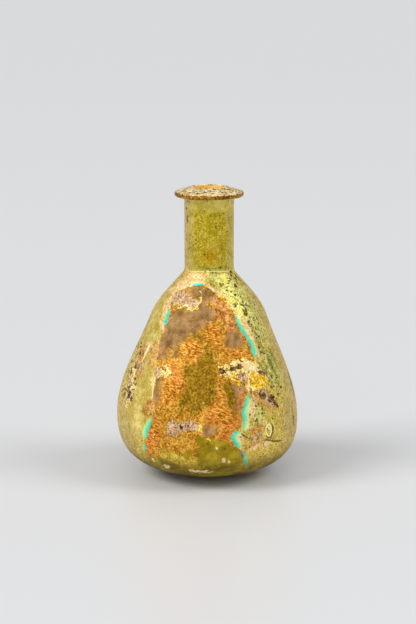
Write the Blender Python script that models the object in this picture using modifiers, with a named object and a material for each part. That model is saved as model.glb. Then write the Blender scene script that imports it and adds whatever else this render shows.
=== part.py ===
"""Roman glass unguentarium, blown in one piece.

A small oil flask stands on a little flat foot. The squat body is widest low down, narrows in a
long shoulder, turns through a hollow curve into a straight neck, and ends in a flat rim that was
folded in over the mouth and slopes down outwards. The flask is one hollow wall of glass, open at
the mouth. Lengths are in metres, +Z is up, and the origin is the middle of the foot on the ground.
"""

import math

import bpy

# Overall height, from the ground to the top of the lip
TOTAL_HEIGHT = 0.110

# Foot and underside
FOOT_RADIUS = 0.010
FOOT_RING_WIDTH = 0.0035
FOOT_DISH_DEPTH = 0.0006
UNDERSIDE_ANGLE = math.radians(12.0)

# Body, whose angles are measured from the vertical
BELLY_RADIUS = 0.0347
BELLY_HEIGHT = 0.0220
SHOULDER_RADIUS = 0.0221
SHOULDER_HEIGHT = 0.0611
SHOULDER_ANGLE = math.radians(20.0)

# Neck, and the hollow curve at its foot
NECK_RADIUS = 0.0094
NECK_START_HEIGHT = 0.0796
NECK_CURVE_RADIUS = 0.0036
NECK_CURVE_TURN = math.radians(39.0)

# Rim and mouth
RIM_OVERHANG = 0.0037
RIM_THICKNESS = 0.0022
RIM_SLOPE = math.radians(16.5)
RIM_ROOT_FILLET = 0.0009
MOUTH_FOLD = 0.0012
MOUTH_FOLD_HEIGHT = 0.0038
LIP_ROUNDING = 0.0007

# Glass thickness
NECK_WALL = 0.0022
BODY_WALL = 0.0018
BASE_WALL = 0.0030

# How far the blowing left it out of true
NECK_LEAN = 0.00075
BODY_SLUMP = math.radians(1.5)

# How far each curve runs on along its end directions, as shares of its chord
EVEN_PULL = 0.33
BELLY_PULL = 0.47
UNDERSIDE_PULL = 0.48
MOUTH_PULL = 0.45

# Fineness of the surface
TURN_STEPS = 44
ARC_STEPS = 4
EDGE_STEPS = 5
ROOT_STEPS = 3
MOUTH_STEPS = 4
UPPER_STEPS = 4
FLANK_STEPS = 6
LOWER_STEPS = 9
FLOOR_STEPS = 3

# Weathered glass, a pale olive gold
GLASS_COLOUR = (0.50, 0.42, 0.16, 1.0)
GLASS_ROUGHNESS = 0.35
GLASS_TRANSMISSION = 0.25


def direction(angle):
    """The unit step, as radius and height, that goes down and out at an angle from the vertical."""
    return (math.sin(angle), -math.cos(angle))


def moved(point, step, length):
    """The point moved along a step by a length."""
    return (point[0] + step[0] * length, point[1] + step[1] * length)


def arc(centre, radius, start, end, steps=ARC_STEPS):
    """Points on an arc, its angles counted from the outward direction towards +Z."""
    angles = [start + (end - start) * i / steps for i in range(steps + 1)]
    return [moved(centre, (math.cos(a), math.sin(a)), radius) for a in angles]


def smooth_curve(start, start_angle, end, end_angle, pulls, steps):
    """Points on a cubic curve that leaves and arrives at the given angles from the vertical."""
    chord = math.dist(start, end)
    first = moved(start, direction(start_angle), chord * pulls[0])
    last = moved(end, direction(end_angle), -chord * pulls[1])
    points = []
    for i in range(steps + 1):
        t = i / steps
        weights = ((1 - t) ** 3, 3 * (1 - t) ** 2 * t, 3 * (1 - t) * t**2, t**3)
        corners = (start, first, last, end)
        radius = sum(w * c[0] for w, c in zip(weights, corners))
        height = sum(w * c[1] for w, c in zip(weights, corners))
        points.append((radius, height))
    return points


def outer_stretches():
    """The outside from the neck's foot down to the foot ring.

    Each stretch is its points and the glass thickness at its two ends.
    """
    curve_centre = (NECK_RADIUS + NECK_CURVE_RADIUS, NECK_START_HEIGHT)
    hollow = arc(curve_centre, NECK_CURVE_RADIUS, math.pi, math.pi + NECK_CURVE_TURN)
    shoulder = (SHOULDER_RADIUS, SHOULDER_HEIGHT)
    belly = (BELLY_RADIUS, BELLY_HEIGHT)
    foot = (FOOT_RADIUS, 0.0)
    underside = UNDERSIDE_ANGLE - math.pi / 2
    even = (EVEN_PULL, EVEN_PULL)
    full = (BELLY_PULL, UNDERSIDE_PULL)
    upper = smooth_curve(hollow[-1], NECK_CURVE_TURN, shoulder, SHOULDER_ANGLE, even, UPPER_STEPS)
    flank = smooth_curve(shoulder, SHOULDER_ANGLE, belly, 0.0, even, FLANK_STEPS)
    lower = smooth_curve(belly, 0.0, foot, underside, full, LOWER_STEPS)
    return [
        (hollow, NECK_WALL, BODY_WALL),
        (upper, BODY_WALL, BODY_WALL),
        (flank, BODY_WALL, BODY_WALL),
        (lower, BODY_WALL, BASE_WALL),
    ]


def inner_side(stretch):
    """The inside of one stretch: each point goes into the flask by the thickness there."""
    points, first_wall, last_wall = stretch
    count = len(points) - 1
    inside = []
    for i, point in enumerate(points):
        before = points[max(i - 1, 0)]
        after = points[min(i + 1, count)]
        run = math.dist(before, after)
        inward = ((after[1] - before[1]) / run, (before[0] - after[0]) / run)
        wall = first_wall + (last_wall - first_wall) * i / count
        inside.append(moved(point, inward, wall))
    return inside


def joined(stretches):
    """One line of points from stretches that share their end points."""
    line = list(stretches[0])
    for stretch in stretches[1:]:
        line.extend(stretch[1:])
    return line


def floor_line(edge_radius, edge_height, centre_height):
    """Points from a ring in to the axis, over a low rounded hump."""
    points = []
    for i in range(1, FLOOR_STEPS + 1):
        share = i / FLOOR_STEPS
        rise = 0.5 - 0.5 * math.cos(math.pi * share)
        points.append((edge_radius * (1 - share), edge_height + (centre_height - edge_height) * rise))
    return points


def rim_line():
    """The neck's bore, the folded mouth, the sloping rim and its underside, up and over."""
    bore = NECK_RADIUS - NECK_WALL
    mouth = bore - MOUTH_FOLD
    edge = RIM_THICKNESS / 2
    lip_centre = (mouth + LIP_ROUNDING, TOTAL_HEIGHT - LIP_ROUNDING)
    fold_start = (bore, lip_centre[1] - MOUTH_FOLD_HEIGHT)
    pulls = (MOUTH_PULL, MOUTH_PULL)
    fold = smooth_curve((mouth, lip_centre[1]), 0.0, fold_start, 0.0, pulls, MOUTH_STEPS)
    fold.reverse()
    up_slope = math.pi / 2 - RIM_SLOPE
    lip = arc(lip_centre, LIP_ROUNDING, math.pi, math.pi / 2)
    lip_end = arc(lip_centre, LIP_ROUNDING, math.pi / 2, up_slope, steps=1)
    # The rim's top touches both the lip's rounding and the edge's rounding
    edge_radius = NECK_RADIUS + RIM_OVERHANG - edge
    fall = (edge_radius - lip_centre[0]) * math.sin(RIM_SLOPE) - (LIP_ROUNDING - edge)
    edge_centre = (edge_radius, lip_centre[1] - fall / math.cos(RIM_SLOPE))
    outer_edge = arc(edge_centre, edge, up_slope, -math.pi / 2, EDGE_STEPS)
    under = edge_centre[1] - edge
    root = min(RIM_ROOT_FILLET, RIM_OVERHANG - edge)
    root_centre = (NECK_RADIUS + root, under - root)
    root_curve = arc(root_centre, root, math.pi / 2, math.pi, ROOT_STEPS)
    return fold + lip[1:] + lip_end[1:] + outer_edge + root_curve


def flask_profile():
    """The whole section, as radius and height, from the inner floor up, over the rim and down."""
    stretches = outer_stretches()
    outside = joined([stretch[0] for stretch in stretches])
    inside = joined([inner_side(stretch) for stretch in stretches])
    floor_edge = inside[-1]
    inside.extend(floor_line(floor_edge[0], floor_edge[1], FOOT_DISH_DEPTH + BASE_WALL))
    inside.reverse()
    dish_radius = FOOT_RADIUS - FOOT_RING_WIDTH
    dish = [(dish_radius, 0.0)] + floor_line(dish_radius, 0.0, FOOT_DISH_DEPTH)
    return inside + rim_line() + outside + dish


def hand_blown(x, y, z):
    """Where a point of the true turned form ended up: the body sank a little, the neck leans."""
    if z < BELLY_HEIGHT:
        sunk = math.sin(math.pi / 2 * max(z, 0.0) / BELLY_HEIGHT)
        lean = 0.0
    else:
        share = min((z - BELLY_HEIGHT) / (NECK_START_HEIGHT - BELLY_HEIGHT), 1.0)
        sunk = 0.5 + 0.5 * math.cos(math.pi * share)
        lean = 1.0 - sunk
    return (x + NECK_LEAN * lean, y, z - math.tan(BODY_SLUMP) * x * sunk)


def make_collection(name):
    """A new collection in the scene."""
    collection = bpy.data.collections.new(name)
    bpy.context.scene.collection.children.link(collection)
    return collection


def weathered_glass():
    """Pale olive glass under a thin weathering film."""
    material = bpy.data.materials.new("weathered_glass")
    material.use_nodes = True
    shader = material.node_tree.nodes["Principled BSDF"]
    shader.inputs["Base Color"].default_value = GLASS_COLOUR
    shader.inputs["Roughness"].default_value = GLASS_ROUGHNESS
    shader.inputs["Metallic"].default_value = 0.0
    shader.inputs["Transmission Weight"].default_value = GLASS_TRANSMISSION
    material.diffuse_color = GLASS_COLOUR
    return material


def turned_mesh(name, profile):
    """The profile turned once round the vertical axis, as a closed mesh."""
    section = bpy.data.meshes.new(name + "_section")
    points = [(radius, 0.0, height) for radius, height in profile]
    edges = [(i, i + 1) for i in range(len(points) - 1)]
    section.from_pydata(points, edges, [])
    turner = bpy.data.objects.new(name + "_section", section)
    bpy.context.scene.collection.objects.link(turner)
    screw = turner.modifiers.new("Screw", "SCREW")
    screw.axis = "Z"
    screw.angle = math.tau
    screw.steps = TURN_STEPS
    screw.render_steps = TURN_STEPS
    screw.use_merge_vertices = True
    screw.merge_threshold = 0.00001
    graph = bpy.context.evaluated_depsgraph_get()
    mesh = bpy.data.meshes.new_from_object(turner.evaluated_get(graph))
    mesh.name = name
    bpy.data.objects.remove(turner, do_unlink=True)
    bpy.data.meshes.remove(section)
    return mesh


def build_unguentarium(collection):
    """The glass flask, as one closed solid with its real wall."""
    mesh = turned_mesh("unguentarium", flask_profile())
    for vertex in mesh.vertices:
        vertex.co = hand_blown(*vertex.co)
    mesh.materials.append(weathered_glass())
    mesh.shade_smooth()
    flask = bpy.data.objects.new("unguentarium", mesh)
    collection.objects.link(flask)
    return flask


def main():
    """Clear the scene and build the flask."""
    for obj in list(bpy.data.objects):
        bpy.data.objects.remove(obj, do_unlink=True)
    build_unguentarium(make_collection("Roman glass unguentarium"))


main()
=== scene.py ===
"""Looks of a Roman glass unguentarium: blown glass under a flaking, iridescent weathering film.

The flask is one piece of fine mesh with its real hollow and wall. What time did to its skin is told
apart into zones: the pale film that covers most of it, the amber glass where the film has come off,
crusts, rainbow fringes along the broken edge of the film, stains, pits and scratches. Some zones are
wholly or partly painted light and shade: glints, a grey sheen along the edges, shade low down and under
the rim, and a glow of light through the neck and into the mouth. Each zone is drawn by a few points,
laid onto the glass as a distance to the zone's edge, raised or sunk in the mesh by its real depth, and
coloured by one material. Lengths are millimetres unless a name says so.
"""

import logging
import math
from dataclasses import dataclass, field
from enum import Enum

import bmesh
import bpy
import numpy as np
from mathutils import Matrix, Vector, noise


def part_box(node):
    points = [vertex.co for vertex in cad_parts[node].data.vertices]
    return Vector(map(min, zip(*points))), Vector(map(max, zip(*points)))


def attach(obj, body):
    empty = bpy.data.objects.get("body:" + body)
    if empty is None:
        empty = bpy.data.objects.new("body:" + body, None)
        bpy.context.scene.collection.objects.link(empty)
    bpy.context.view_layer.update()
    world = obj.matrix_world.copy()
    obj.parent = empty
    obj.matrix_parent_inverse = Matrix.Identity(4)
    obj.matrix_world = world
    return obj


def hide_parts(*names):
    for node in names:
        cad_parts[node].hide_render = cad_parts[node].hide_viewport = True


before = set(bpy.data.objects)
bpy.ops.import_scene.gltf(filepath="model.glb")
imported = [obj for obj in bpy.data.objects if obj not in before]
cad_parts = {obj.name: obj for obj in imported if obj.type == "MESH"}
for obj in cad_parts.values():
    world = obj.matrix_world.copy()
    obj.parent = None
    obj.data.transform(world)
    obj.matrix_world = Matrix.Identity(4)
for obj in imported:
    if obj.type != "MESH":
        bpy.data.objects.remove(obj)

LOG = logging.getLogger("unguentarium")
MM = 0.001
NODE = "unguentarium"
BODY = "root"
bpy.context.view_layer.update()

Array = np.ndarray
Socket = bpy.types.NodeSocket
Line = list[tuple[float, float]]


class Zone(Enum):
    """The kinds of surface on the flask. The value names the zone's distance attribute."""

    INSIDE = "zone_inside"
    NECK = "zone_neck"
    GREEN = "zone_green"
    BLUSH = "zone_blush"
    GREY = "zone_grey"
    GOLD = "zone_gold"
    AMBER = "zone_amber"
    MAUVE = "zone_mauve"
    ORANGE = "zone_orange"
    EMBER = "zone_ember"
    OLIVE = "zone_olive"
    CLEAR = "zone_clear"
    CRUST = "zone_crust"
    FLAKE = "zone_flake"
    YELLOW = "zone_yellow"
    ROSE = "zone_rose"
    DARK = "zone_dark"
    CYAN = "zone_cyan"
    CREAM = "zone_cream"
    SCAR = "zone_scar"
    SPECKS = "zone_specks"
    STREAKS = "zone_streaks"
    GLINT = "zone_glint"
    STAIN = "zone_stain"
    LUSTRE = "zone_lustre"
    LEMON = "zone_lemon"
    HAZE = "zone_haze"
    PALE = "zone_pale"
    FOOT = "zone_foot"
    RIM_TOP = "zone_rim_top"
    RIM_EDGE = "zone_rim_edge"


def across_name(zone: Zone) -> str:
    """The attribute that says how far to one side of a thin line a point lies."""
    return zone.value + "_across"


class Pattern(Enum):
    """How the tones of a finish are broken up over the surface."""

    CLOUDY = "cloudy"
    MOTTLED = "mottled"
    CREASED = "creased"
    GRAINY = "grainy"
    BANDED = "banded"


def beside(spots: Array, start: Array, end: Array) -> tuple[Array, Array]:
    """Measure where spots lie beside one straight stretch.

    Args:
        spots: One spot a row.
        start: The stretch's first end.
        end: Its other end.

    Returns:
        How far along the stretch each spot's nearest place is, as a share, and the distance to it.
    """
    run = end - start
    share = np.clip((spots - start) @ run / max(float(run @ run), 1e-9), 0.0, 1.0)
    return share, np.linalg.norm(spots - start - share[:, None] * run, axis=1)


class Patch:
    """A closed outline in pixels of the photograph's 416 by 624 frame: each corner is across and down."""

    def __init__(self, *numbers: float) -> None:
        """Take the corners as pairs of numbers."""
        self.corners = np.array(numbers, float).reshape(-1, 2)

    def depth(self, spots: Array) -> Array:
        """Measure how deep spots lie inside the outline.

        Args:
            spots: One spot a row.

        Returns:
            The distance to the outline, positive inside it.
        """
        nearest = np.full(len(spots), np.inf)
        inside = np.zeros(len(spots), bool)
        for start, end in zip(self.corners, np.roll(self.corners, -1, axis=0)):
            nearest = np.minimum(nearest, beside(spots, start, end)[1])
            if start[1] == end[1]:
                continue
            crosses = (start[1] > spots[:, 1]) != (end[1] > spots[:, 1])
            meets = start[0] + (spots[:, 1] - start[1]) * (end[0] - start[0]) / (end[1] - start[1])
            inside ^= crosses & (spots[:, 0] < meets)
        return np.where(inside, nearest, -nearest)


class Stroke:
    """A narrow mark in the same pixels: each point is across, down and half the width there."""

    def __init__(self, *numbers: float) -> None:
        """Take the points as triples of numbers."""
        self.points = np.array(numbers, float).reshape(-1, 3)

    def depth(self, spots: Array) -> Array:
        """Measure how deep spots lie inside the stroke.

        Args:
            spots: One spot a row.

        Returns:
            The distance to the stroke's edge, positive inside it.
        """
        depth = np.full(len(spots), -np.inf)
        for start, end in zip(self.points, self.points[1:]):
            share, away = beside(spots, start[:2], end[:2])
            depth = np.maximum(depth, start[2] + (end[2] - start[2]) * share - away)
        return depth


AMBER_FIELD = Patch(201.9, 284.6, 208.5, 287.5, 216.7, 295.2, 222.3, 298.7, 229.3, 305.7, 234.2, 312.7,
                    235.2, 319.7, 238.2, 326.8, 245.6, 337, 250.4, 345.4, 253, 353.4, 255.6, 362, 252, 376,
                    250.4, 385, 248.2, 392, 245.4, 399.7, 241.9, 411, 243.3, 420.8, 240.5, 427.8,
                    233, 432.6, 230.6, 437.4, 235.6, 446.6, 242.6, 451.7, 244, 461.5, 244.7, 468, 241, 482,
                    160, 482, 152, 465, 147.2, 460.1, 145.1, 453.1, 145.8, 441.8, 147.9, 432, 152.1, 419.4,
                    154.9, 411, 152.1, 401.1, 152.8, 391.3, 156.3, 380.1, 158.4, 371.7, 156, 362, 158, 350,
                    159.8, 339.4, 165.4, 326.8, 170.4, 311.3, 171.8, 301.5, 176, 291.7, 188.6, 286.8)

DRAWINGS: dict[Zone, tuple[Patch | Stroke, ...]] = {
    Zone.AMBER: (AMBER_FIELD,),
    Zone.MAUVE: (
        Patch(188, 292, 193, 287.5, 203, 286, 211, 290, 218, 297, 214, 303, 205, 302.5, 199, 299, 191, 296),
        Patch(172, 311, 180, 306, 190, 311, 200, 303, 214, 305, 219, 314, 211, 322, 203, 329, 192, 334,
              182, 342, 170, 349, 161, 347, 159, 340, 162, 332, 167, 322),
        Patch(226, 333, 236, 327, 244.6, 336, 243, 348, 232, 351.6, 225.6, 344),
        Patch(246, 342.5, 250.5, 345, 251.5, 350, 247.5, 352),
        Patch(233, 383, 247, 385, 243.6, 392, 241, 400, 239, 410, 236, 413, 235, 402, 237, 393),
        Patch(152, 392, 155, 369, 162, 370, 161, 385, 159, 398, 155, 404, 151.5, 400),
        Patch(237, 446, 242.6, 451.7, 243.6, 462.5, 240, 458, 234, 449),
        Patch(200.5, 428, 209, 424.5, 219, 427, 217, 435, 208, 438.5, 201.5, 434),
        Patch(155.5, 341, 163, 330, 169, 336, 169, 352, 164, 362, 157, 358),
        Patch(174, 348, 178, 350, 177, 357, 173, 355),
    ),
    Zone.ORANGE: (
        Patch(205, 324, 212, 322, 220, 331, 223, 338, 222, 347, 214, 349, 207, 340),
        Patch(182, 342, 192, 340, 200, 344, 202, 353, 196, 362, 186, 362, 181, 352),
        Patch(237, 324, 243, 329, 249, 340, 244, 344, 240, 333),
        Patch(226, 351, 240, 347, 247, 352, 254, 358, 247, 362, 238, 360, 228, 357),
        Patch(218, 386, 222, 384, 224, 396, 228, 408, 233, 420, 236, 430, 224, 428, 214, 420, 206, 418,
              214, 406),
        Patch(152, 417, 158, 420, 162, 434, 156, 448, 146, 460, 144, 446, 148, 430),
        Patch(164, 381, 174, 377, 186, 384, 178, 396, 168, 405, 162, 402),
        Patch(225, 432, 232, 436, 238, 446, 231, 445, 220, 440),
    ),
    Zone.EMBER: (
        Patch(240, 393, 248.5, 389, 247, 396, 243.5, 404, 242.5, 412, 245, 420, 239, 430, 234, 424,
              238, 412, 237.5, 402),
        Patch(169, 367, 178, 362, 184, 369, 181, 382, 171, 382),
        Patch(147.5, 431, 154, 434, 153, 447, 146, 452, 143.5, 442),
        Patch(220, 424, 232, 420, 240, 432, 232, 443, 220, 438),
        Patch(203, 412, 213, 407, 219, 418, 211, 428, 204, 423),
    ),
    Zone.OLIVE: (
        Patch(180, 368, 191, 362, 200, 354, 207, 343, 214, 350, 218, 362, 217, 382, 219, 394, 215, 404,
              198, 412, 178, 410, 174, 394, 186, 382),
        Patch(219, 388, 228, 380, 238, 385, 240, 398, 238, 411, 234.5, 420, 229, 415, 221, 401),
        Patch(168, 340, 176, 334, 188, 331, 186, 340, 176, 348),
        Patch(194, 337, 204, 330, 206, 342, 202, 346),
        Patch(203, 304, 211, 305, 217, 318, 208, 326, 196, 328),
        Patch(206, 334, 202, 326, 190, 334, 192, 341),
    ),
    Zone.CLEAR: (
        Patch(196, 438.5, 205, 436.9, 214.3, 439.8, 226.5, 443.1, 237.9, 450.1, 243.3, 461.3, 240, 480,
              165, 480, 157, 468, 151.5, 459.1, 162.1, 457.6, 171.8, 462.2, 184.8, 466.5, 197.5, 467.2,
              198.5, 461, 195, 456.5, 199.2, 447.7),
        Patch(184, 452, 188.6, 450, 191.8, 453.9, 189, 459.9, 184, 459.2),
        Patch(159, 449.2, 165, 448.6, 168.4, 452.4, 162, 453.4),
    ),
    Zone.LEMON: (
        Patch(160, 455.5, 172, 452.5, 185, 458.5, 196.5, 458.5, 199, 465.5, 190, 468, 174, 464, 163, 460),
    ),
    Zone.PALE: (
        Patch(218.1, 367.1, 225.3, 364.2, 241.9, 358.5, 251, 360.3, 259.2, 367, 266, 373.5, 270, 381,
              263.5, 379.5, 256.4, 377, 248.7, 389, 243, 384.4, 235.4, 380, 227.7, 376.5, 219.9, 375.5),
        Patch(155, 368.9, 166.5, 365.5, 171.4, 371.7, 168.1, 376.9, 157.7, 378.8),
        Patch(170.9, 300.1, 176.2, 291.7, 186, 290.3, 192.2, 298.5, 199.2, 299.7, 200.8, 303.3,
              191.8, 310.4, 185.8, 306.7, 177.4, 305.7, 171.9, 307),
        Patch(246, 386, 252, 384, 256, 390.5, 249.5, 393),
        Patch(262, 392, 268, 394, 271, 402, 265, 402),
        Patch(133, 362, 137, 364, 135, 378, 134, 392, 131, 404, 126, 409, 124, 402, 127, 388, 129, 374),
    ),
    Zone.YELLOW: (
        Patch(228.3, 376.2, 235.3, 374.3, 240.3, 379.9, 244.7, 386.7, 238.3, 384.9),
        Patch(250.6, 376, 254.8, 371.5, 263.4, 375.3, 267.8, 379.9, 265.4, 387.9, 258, 389.4, 251.6, 385.4),
        Patch(205.6, 436.8, 209.2, 436.4, 210, 440.8, 206.2, 441.2),
        Patch(199.4, 425, 203, 427, 202, 433, 199, 431),
        Stroke(200.6, 297.3, 1.6, 201, 300.9, 0.9, 198, 306.3, 0.9, 192.4, 310.3, 1.1, 186.6, 308.1, 0.6,
               176, 306.2, 0.5),
        Stroke(218, 294.8, 0.8, 224, 298.5, 1.4, 231, 306, 0.9, 234.4, 312.5, 0.6),
        Stroke(244, 357, 0.8, 253, 358.5, 1.2, 258, 366, 0.8),
    ),
    Zone.CRUST: (
        Patch(249, 438.9, 257.8, 433, 262, 436.2, 254.2, 441.5),
        Patch(256, 371.5, 260.5, 369.3, 265.2, 371.5, 267, 374.5, 260, 375),
        Patch(258, 391.4, 262.8, 389.3, 267.6, 392.9, 272.4, 398.5, 277.5, 404.2, 276, 407, 266.8, 401.4,
              259.8, 397.6),
        Patch(126.8, 391.3, 130.6, 386.1, 133.7, 391.3, 132.5, 400.1, 127.8, 400.7),
        Patch(128.7, 378, 132, 377.3, 132.7, 382.9, 129.6, 384.3),
    ),
    Zone.FLAKE: (
        Patch(172.2, 297.5, 177.2, 290.7, 186.4, 290.3, 189.6, 297, 198.4, 299.4, 200.4, 302.1,
              191.8, 309.3, 187.8, 305.1, 177.4, 305.5, 171.4, 304),
        Patch(237.5, 375.5, 239.6, 372.4, 247, 373.4, 248.4, 378, 243.3, 383.8, 239, 380.4),
        Patch(166.1, 427.4, 168.4, 420.4, 173, 419.4, 179, 424, 186, 419.6, 194, 420.6, 198.6, 427,
              196, 431.4, 186, 432.4, 180, 431.4, 175.6, 436, 166.5, 435.4),
        Patch(136, 364, 142, 363, 143.5, 368, 138, 372),
        Patch(156, 367, 160, 367.5, 161, 377, 157, 378.5),
        Patch(264.4, 398, 268.4, 395, 271.4, 401, 267.4, 403.6),
    ),
    Zone.DARK: (
        Patch(218.6, 370.8, 221.5, 367.2, 224.6, 369.3, 224.2, 375, 220, 374),
        Patch(225.5, 372.6, 229, 369.8, 231.5, 372, 228, 374.8),
        Patch(229.6, 368.2, 236.5, 365.2, 244.8, 363.9, 244.8, 367.9, 238, 368.8, 231.5, 370.6),
        Patch(241.5, 375, 243.5, 374.6, 244, 377, 242, 377.2),
        Patch(178, 296, 181, 295.2, 181.6, 297.6, 178.4, 298.4),
        Patch(179, 425.4, 181.4, 423.8, 182.4, 428.4, 180, 430.2),
        Patch(255.6, 372.4, 259.4, 370.4, 264.4, 371.8, 266, 374.6, 260.6, 374.8),
        Patch(258.6, 393.4, 262, 392.4, 266.2, 396.4, 264.6, 400.6, 260.6, 399),
        Patch(269.4, 393, 273.4, 395, 277.6, 402.4, 278.2, 407.8, 275.4, 406.8, 272.4, 402.4, 270.6, 399.4),
        Patch(127.8, 392.3, 130.9, 390.1, 132.2, 394.3, 130.5, 398.1, 127.8, 397.7),
    ),
    Zone.ROSE: (
        Patch(211, 301, 218.5, 297, 230.5, 307.7, 237.3, 321, 236, 330, 228, 333, 222, 322, 214, 314),
        Patch(243, 447.2, 248, 442.5, 256, 438.5, 262, 437, 264, 440.6, 252.4, 444.7, 244.9, 451),
        Patch(256, 426.6, 261, 423.6, 263, 428.6, 259.2, 434.6, 253, 436.6, 251, 432),
        Patch(250.4, 388.1, 258.6, 391.5, 262, 398.5, 279, 408.2, 272.8, 413.4, 262, 406, 256, 399.7,
              248.8, 396.3),
        Patch(134, 364.5, 137.5, 352, 142.5, 346, 147.5, 347, 147, 355.5, 142.5, 366, 138, 376, 134, 384),
        Patch(147, 401, 151.5, 398, 156.5, 403, 156, 411, 151, 420, 146, 419, 144.5, 410),
        Patch(148.9, 350.6, 157, 343, 158.5, 352, 155.1, 363.2, 150, 366.1, 147.5, 359.2),
    ),
    Zone.CYAN: (
        Patch(229, 436, 234, 431.8, 239.4, 432.8, 241.8, 438, 239.4, 446.8, 233, 446, 229, 440),
        Stroke(189.5, 287.6, 0.5, 193, 286.6, 1.2, 197.5, 285.4, 1.8, 202, 284.3, 0.8),
        Stroke(169.6, 311.9, 0.6, 168.2, 316, 1.7, 166.4, 319.5, 0.8, 166.7, 323.2, 1.5, 167.2, 326, 0.6),
        Stroke(234.4, 313, 0.2, 235.6, 318.5, 0.6, 238, 323.4, 1.3, 240.6, 327.6, 1.9, 243, 331.4, 1.2,
               246.6, 336.8, 0.5, 249.8, 341.4, 0.9, 252.4, 346.2, 1.9, 253.8, 351, 1.7, 255.2, 356, 0.2),
        Stroke(249.4, 395.4, 1, 247.6, 401, 2.3, 245.2, 407.6, 2.9, 244.4, 413, 2.4, 245, 419, 2.9,
               246, 424, 2, 244.6, 429, 0.7),
        Stroke(240.6, 452, 1, 244.3, 455.4, 1, 244.6, 460, 1.6, 245.4, 466, 1.5, 244.2, 470.4, 0.6),
        Stroke(151.4, 418.6, 0.5, 148.4, 423.6, 1.7, 145.8, 429.6, 1.9, 144.8, 435, 1.5, 144.4, 438, 0.4),
        Stroke(144.4, 445, 0.1, 144.6, 448, 0.5, 144.8, 451, 0.1),
        Stroke(146.4, 458.4, 0.2, 148.6, 461.2, 0.5),
    ),
    Zone.BLUSH: (
        Patch(181, 279, 190.8, 272.8, 206.1, 272.9, 206.3, 281.4, 199.8, 283.7, 188.6, 286.4, 179.8, 291.7,
              170.8, 296.7, 170, 289.8),
        Patch(249.8, 394.5, 254.4, 397.4, 254.7, 408.3, 252, 420.4, 249.7, 430, 244.3, 433, 246.4, 421.4,
              246.5, 409),
        Patch(237.8, 434.9, 240.3, 434, 246.4, 437.6, 242, 444.6, 238.5, 447),
        Patch(138.7, 363.2, 142.3, 352, 147.9, 344, 149, 350, 144.1, 360.8, 139.1, 368.5),
        Stroke(205.5, 283, 1.2, 212, 289, 1.5, 217.7, 293, 1.2, 226.5, 300.1, 1.2, 234.9, 309.3, 1.5),
        Stroke(236.3, 313, 1.6, 243.3, 322.4, 3.2, 249.5, 332.6, 3.6, 255.6, 343.4, 3, 259.6, 358.6, 1.5),
        Stroke(154.2, 369, 0.8, 152.4, 382, 1.1, 151.4, 396, 0.8),
        Stroke(187, 287.7, 1, 178, 291, 1.8, 169, 300.5, 2.8, 165.6, 309.5, 3.2, 163, 319, 3,
               161.4, 328, 1.4),
        Stroke(248.6, 450, 1.5, 258, 445.6, 2.5, 270, 443, 1.2),
    ),
    Zone.GREEN: (
        # Greener film on the right, with a painted sheen on the shoulder
        Patch(203, 267, 229, 271, 250, 292, 262, 315, 270, 345, 266, 356, 252, 331, 238, 309, 214, 288,
              206, 280),
        Patch(255, 399.7, 261.6, 402.9, 266.8, 413.8, 265.4, 422, 255.8, 427.4, 251.2, 428.6),
        Patch(260, 350, 268, 346, 281, 372, 283, 392, 272, 384, 263, 368),
    ),
    Zone.GREY: (
        Patch(116, 398, 127, 402, 133, 420, 138, 446, 130, 452, 118, 436),
        # Painted reflection: a pale band down the left side of the neck
        Patch(180, 200, 190, 200, 190, 268, 180, 268),
        # Along the right edge the grey is a painted sheen, darkened low down as painted shade
        Patch(286, 395, 296, 398, 296, 430, 286, 446, 282, 430),
        Patch(268, 330, 274, 338, 288, 372, 294, 392, 287, 388, 274, 352),
        Patch(246, 284, 258, 300, 269, 322, 264, 324, 250, 298),
    ),
    Zone.GOLD: (
        Patch(120, 396, 126, 372, 141, 330, 158, 300, 170, 290, 164, 312, 157, 342, 153, 372, 151, 402,
              147, 428, 138, 440, 128, 428),
    ),
    # Painted light: paler tones at the top of the neck, under the rim
    Zone.HAZE: (
        Patch(180, 186, 236, 186, 236, 208, 222, 211, 192, 209, 184, 214),
    ),
    Zone.CREAM: (
        Patch(243, 361, 251, 361, 259, 367, 256, 372, 248, 371, 243, 367),
        Patch(163.2, 465.9, 165.4, 464, 169.6, 467.4, 170.2, 469.2, 165.2, 468.4),
        Patch(221.6, 458.6, 223.6, 457.8, 224, 460, 226.2, 458.2, 226, 461.4, 222.1, 462.6),
        Patch(228, 459.4, 230.6, 460.6, 229.6, 463.4, 227.4, 462.2),
        Patch(152, 458.2, 156, 461.4, 154.4, 462.6, 151.2, 459.8),
        Stroke(189.6, 470.2, 0.9, 197, 472, 1.3, 205, 472.4, 1.2, 212.8, 472.6, 0.5),
        Stroke(216.6, 447, 0.5, 217.2, 453, 0.4),
    ),
    Zone.SPECKS: (
        Patch(212, 284, 234, 278, 246, 296, 258, 322, 262, 346, 256, 340, 244, 316, 228, 298),
        Patch(257, 345, 268, 346, 282, 388, 280, 402, 264, 376),
        Patch(226, 266, 236, 272, 242, 284, 236, 288),
        Patch(118, 396, 128, 360, 140, 335, 146, 345, 138, 372, 134, 404),
        Patch(252, 400, 264, 408, 264, 424, 252, 424),
    ),
    Zone.STREAKS: (
        Stroke(258.6, 350, 0.4, 264, 362, 1.2, 271, 376, 0.8, 277, 388, 0.3),
        Stroke(262.4, 346, 0.3, 269, 360, 0.9, 275.6, 374, 1.1, 280.4, 387, 0.3),
        Stroke(268, 346, 0.3, 273.4, 358, 0.8, 279.8, 372, 0.3),
        Stroke(255.4, 338, 0.3, 257.6, 342, 1.2, 260, 347, 0.3),
        Stroke(258, 362, 0.3, 266, 372, 0.9, 271.6, 384, 0.3),
        Stroke(196, 266, 0.4, 206, 268.6, 0.9, 222, 268.4, 0.8, 227, 266.6, 0.3),
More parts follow.
